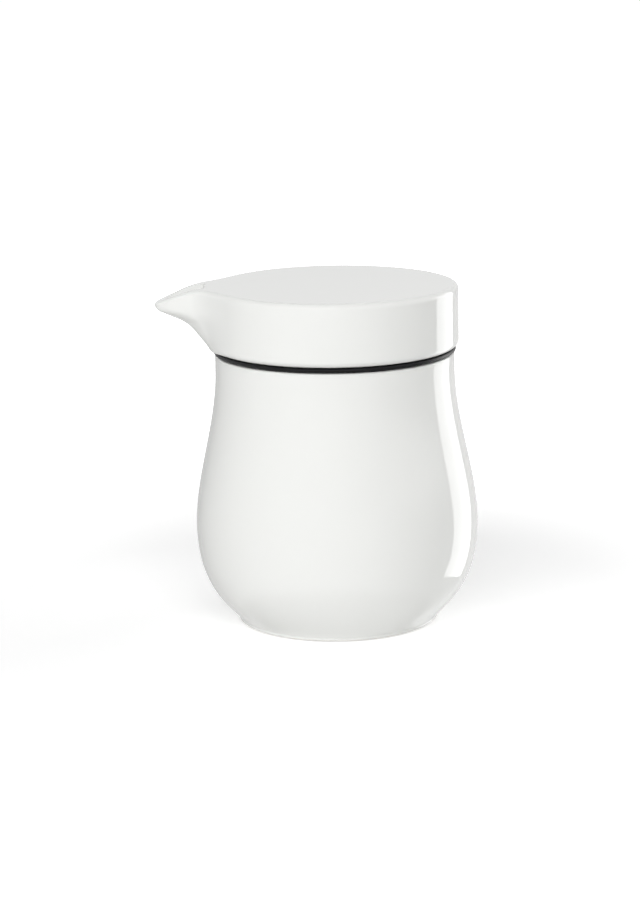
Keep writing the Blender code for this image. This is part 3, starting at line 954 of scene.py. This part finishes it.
# %% [markdown]
# ## Camera
# The photograph was taken from nearly a metre away with a long lens, a little above the lid, with
# the spout to the left. A long lens keeps the pot's sides upright, so the view is set by where the
# camera stands and by its three small turns, and not by eye.

# %% Camera at the photograph's view
IMAGE_HEIGHT = 908
FOCAL_PIXELS = 2800
SENSOR = 36.0
CAMERA_BACK = 0.9706
CAMERA_HEIGHT = 0.2784
PITCH = math.radians(12.74)
YAW = math.radians(-0.34)
ROLL = math.radians(-0.92)


def photograph_camera():
    """The camera, placed by its distance and height and turned by pitch, yaw and roll."""
    data = bpy.data.cameras.new("camera")
    data.sensor_width = SENSOR
    data.lens = SENSOR * FOCAL_PIXELS / IMAGE_HEIGHT
    camera = bpy.data.objects.new("camera", data)
    level_forward = Vector((math.sin(YAW), math.cos(YAW), 0))
    forward = level_forward * math.cos(PITCH) - Vector((0, 0, math.sin(PITCH)))
    level_right = Vector((math.cos(YAW), -math.sin(YAW), 0))
    level_up = level_right.cross(forward)
    right = level_right * math.cos(ROLL) + level_up * math.sin(ROLL)
    up = level_up * math.cos(ROLL) - level_right * math.sin(ROLL)
    turn = Matrix((right, up, -forward)).transposed().to_4x4()
    camera.matrix_world = Matrix.Translation((AXIS_X, -CAMERA_BACK, CAMERA_HEIGHT)) @ turn
    bpy.context.collection.objects.link(camera)
    return camera


camera = photograph_camera()
bpy.context.scene.camera = camera
print(f"lens {camera.data.lens:.1f} mm")

# %% [markdown]
# ## Light
# White porcelain on white needs light that comes from nearly everywhere, and one clear shape to
# mirror. The main softbox stands high in front. Weaker ones on the left, overhead and on the right
# open the shadows, and one that lies on the table stands for the light that a white table throws
# back. Mirrors see none of these, only a tall strip behind on the right, with its camera side swung
# in towards the boat. It draws the long highlight down the glaze, and it reaches below the table's
# level so that the highlight runs on under the belly. Each box is written as the brightness of its
# cloth, so its size can change without changing how bright it looks.

# %% Softboxes aimed at the boat
BOAT_MIDDLE = Vector((AXIS_X, 0, LID_TOP / 2))
UPRIGHT = Vector((0, 1, 0))


def softbox(name, azimuth, elevation, distance, width, height, brightness, mirrored=False, swing=0):
    """A rectangle of light; azimuth 0 is the camera's side and 90 the boat's right-hand side."""
    data = bpy.data.lights.new(name, "AREA")
    data.shape = "RECTANGLE"
    data.size = width
    data.size_y = height
    data.energy = brightness * math.pi * width * height
    lamp = bpy.data.objects.new(name, data)
    around = math.radians(azimuth)
    up = math.radians(elevation)
    away = Vector((math.sin(around) * math.cos(up), -math.cos(around) * math.cos(up), math.sin(up)))
    lamp.location = BOAT_MIDDLE + away * distance
    aim = away.to_track_quat("Z", "Y")
    lamp.rotation_euler = (aim @ Quaternion(UPRIGHT, math.radians(swing))).to_euler()
    lamp.visible_camera = False
    lamp.visible_glossy = mirrored
    bpy.context.collection.objects.link(lamp)
    print(f"{name}: {width} x {height} m at {distance:.2f} m")


print("every box is aimed at", [round(side / MILLIMETRE, 1) for side in BOAT_MIDDLE], "mm")

# %% The six boxes: azimuth, elevation, distance, width, height and brightness
ABOVE_TABLE = 0.2 * MILLIMETRE
to_table = BOAT_MIDDLE.z + FLOOR_BELOW - ABOVE_TABLE
softbox("front_softbox", -10, 40, 1.5, 1.6, 1.0, 3.61)
softbox("left_softbox", -60, 25, 1.5, 1.2, 1.0, 0.95)
softbox("top_softbox", 0, 89, 1.5, 1.2, 1.2, 0.80)
softbox("right_softbox", 110, 25, 1.5, 1.6, 1.0, 1.08)
softbox("table_softbox", 0, -90, to_table, 1.0, 1.0, 0.35)
softbox("strip_softbox", 124.4, -2, 1.0, 0.60, 1.09, 2.75, mirrored=True, swing=-16)
